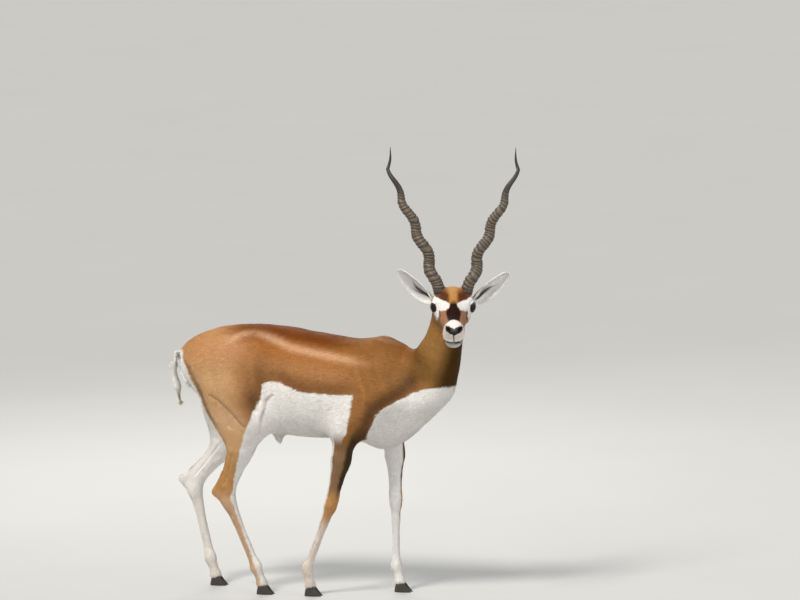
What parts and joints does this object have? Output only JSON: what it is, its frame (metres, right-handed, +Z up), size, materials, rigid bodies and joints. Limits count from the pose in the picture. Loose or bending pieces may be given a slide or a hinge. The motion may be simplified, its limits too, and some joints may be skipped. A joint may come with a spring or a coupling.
{
  "type": "blackbuck",
  "caption": "still life-size adult male blackbuck antelope, walking, head turned to the viewer, long ringed spiral horns",
  "frame": {"origin": "on the floor under the middle of the figure's bounding box", "axes": "+Z up, the body heads along +X, the animal's left side is +Y"},
  "size_m": [1.1194, 0.3692, 1.3715],
  "materials": {
    "brown_coat": "matte",
    "leg_coat": "matte",
    "white_coat": "matte",
    "ear_coat": "matte",
    "horn": "satin",
    "hoof": "satin",
    "eye": "gloss"
  },
  "bodies": {
    "root": {"ear_left": "ear_coat", "ear_right": "ear_coat", "eye_left": "eye", "eye_right": "eye", "foreleg_left_cannon": "leg_coat", "foreleg_left_forearm": "leg_coat", "foreleg_right_cannon": "leg_coat", "foreleg_right_forearm": "leg_coat", "head": "brown_coat", "hindleg_left_cannon": "leg_coat", "hindleg_left_shank": "leg_coat", "hindleg_left_thigh": "leg_coat", "hindleg_right_cannon": "leg_coat", "hindleg_right_shank": "leg_coat", "hindleg_right_thigh": "leg_coat", "hoof_fore_left_inner": "hoof", "hoof_fore_left_outer": "hoof", "hoof_fore_right_inner": "hoof", "hoof_fore_right_outer": "hoof", "hoof_hind_left_inner": "hoof", "hoof_hind_left_outer": "hoof", "hoof_hind_right_inner": "hoof", "hoof_hind_right_outer": "hoof", "horn_left": "horn", "horn_right": "horn", "neck": "brown_coat", "tail": "white_coat", "torso": "brown_coat"}
  },
  "joints": []
}
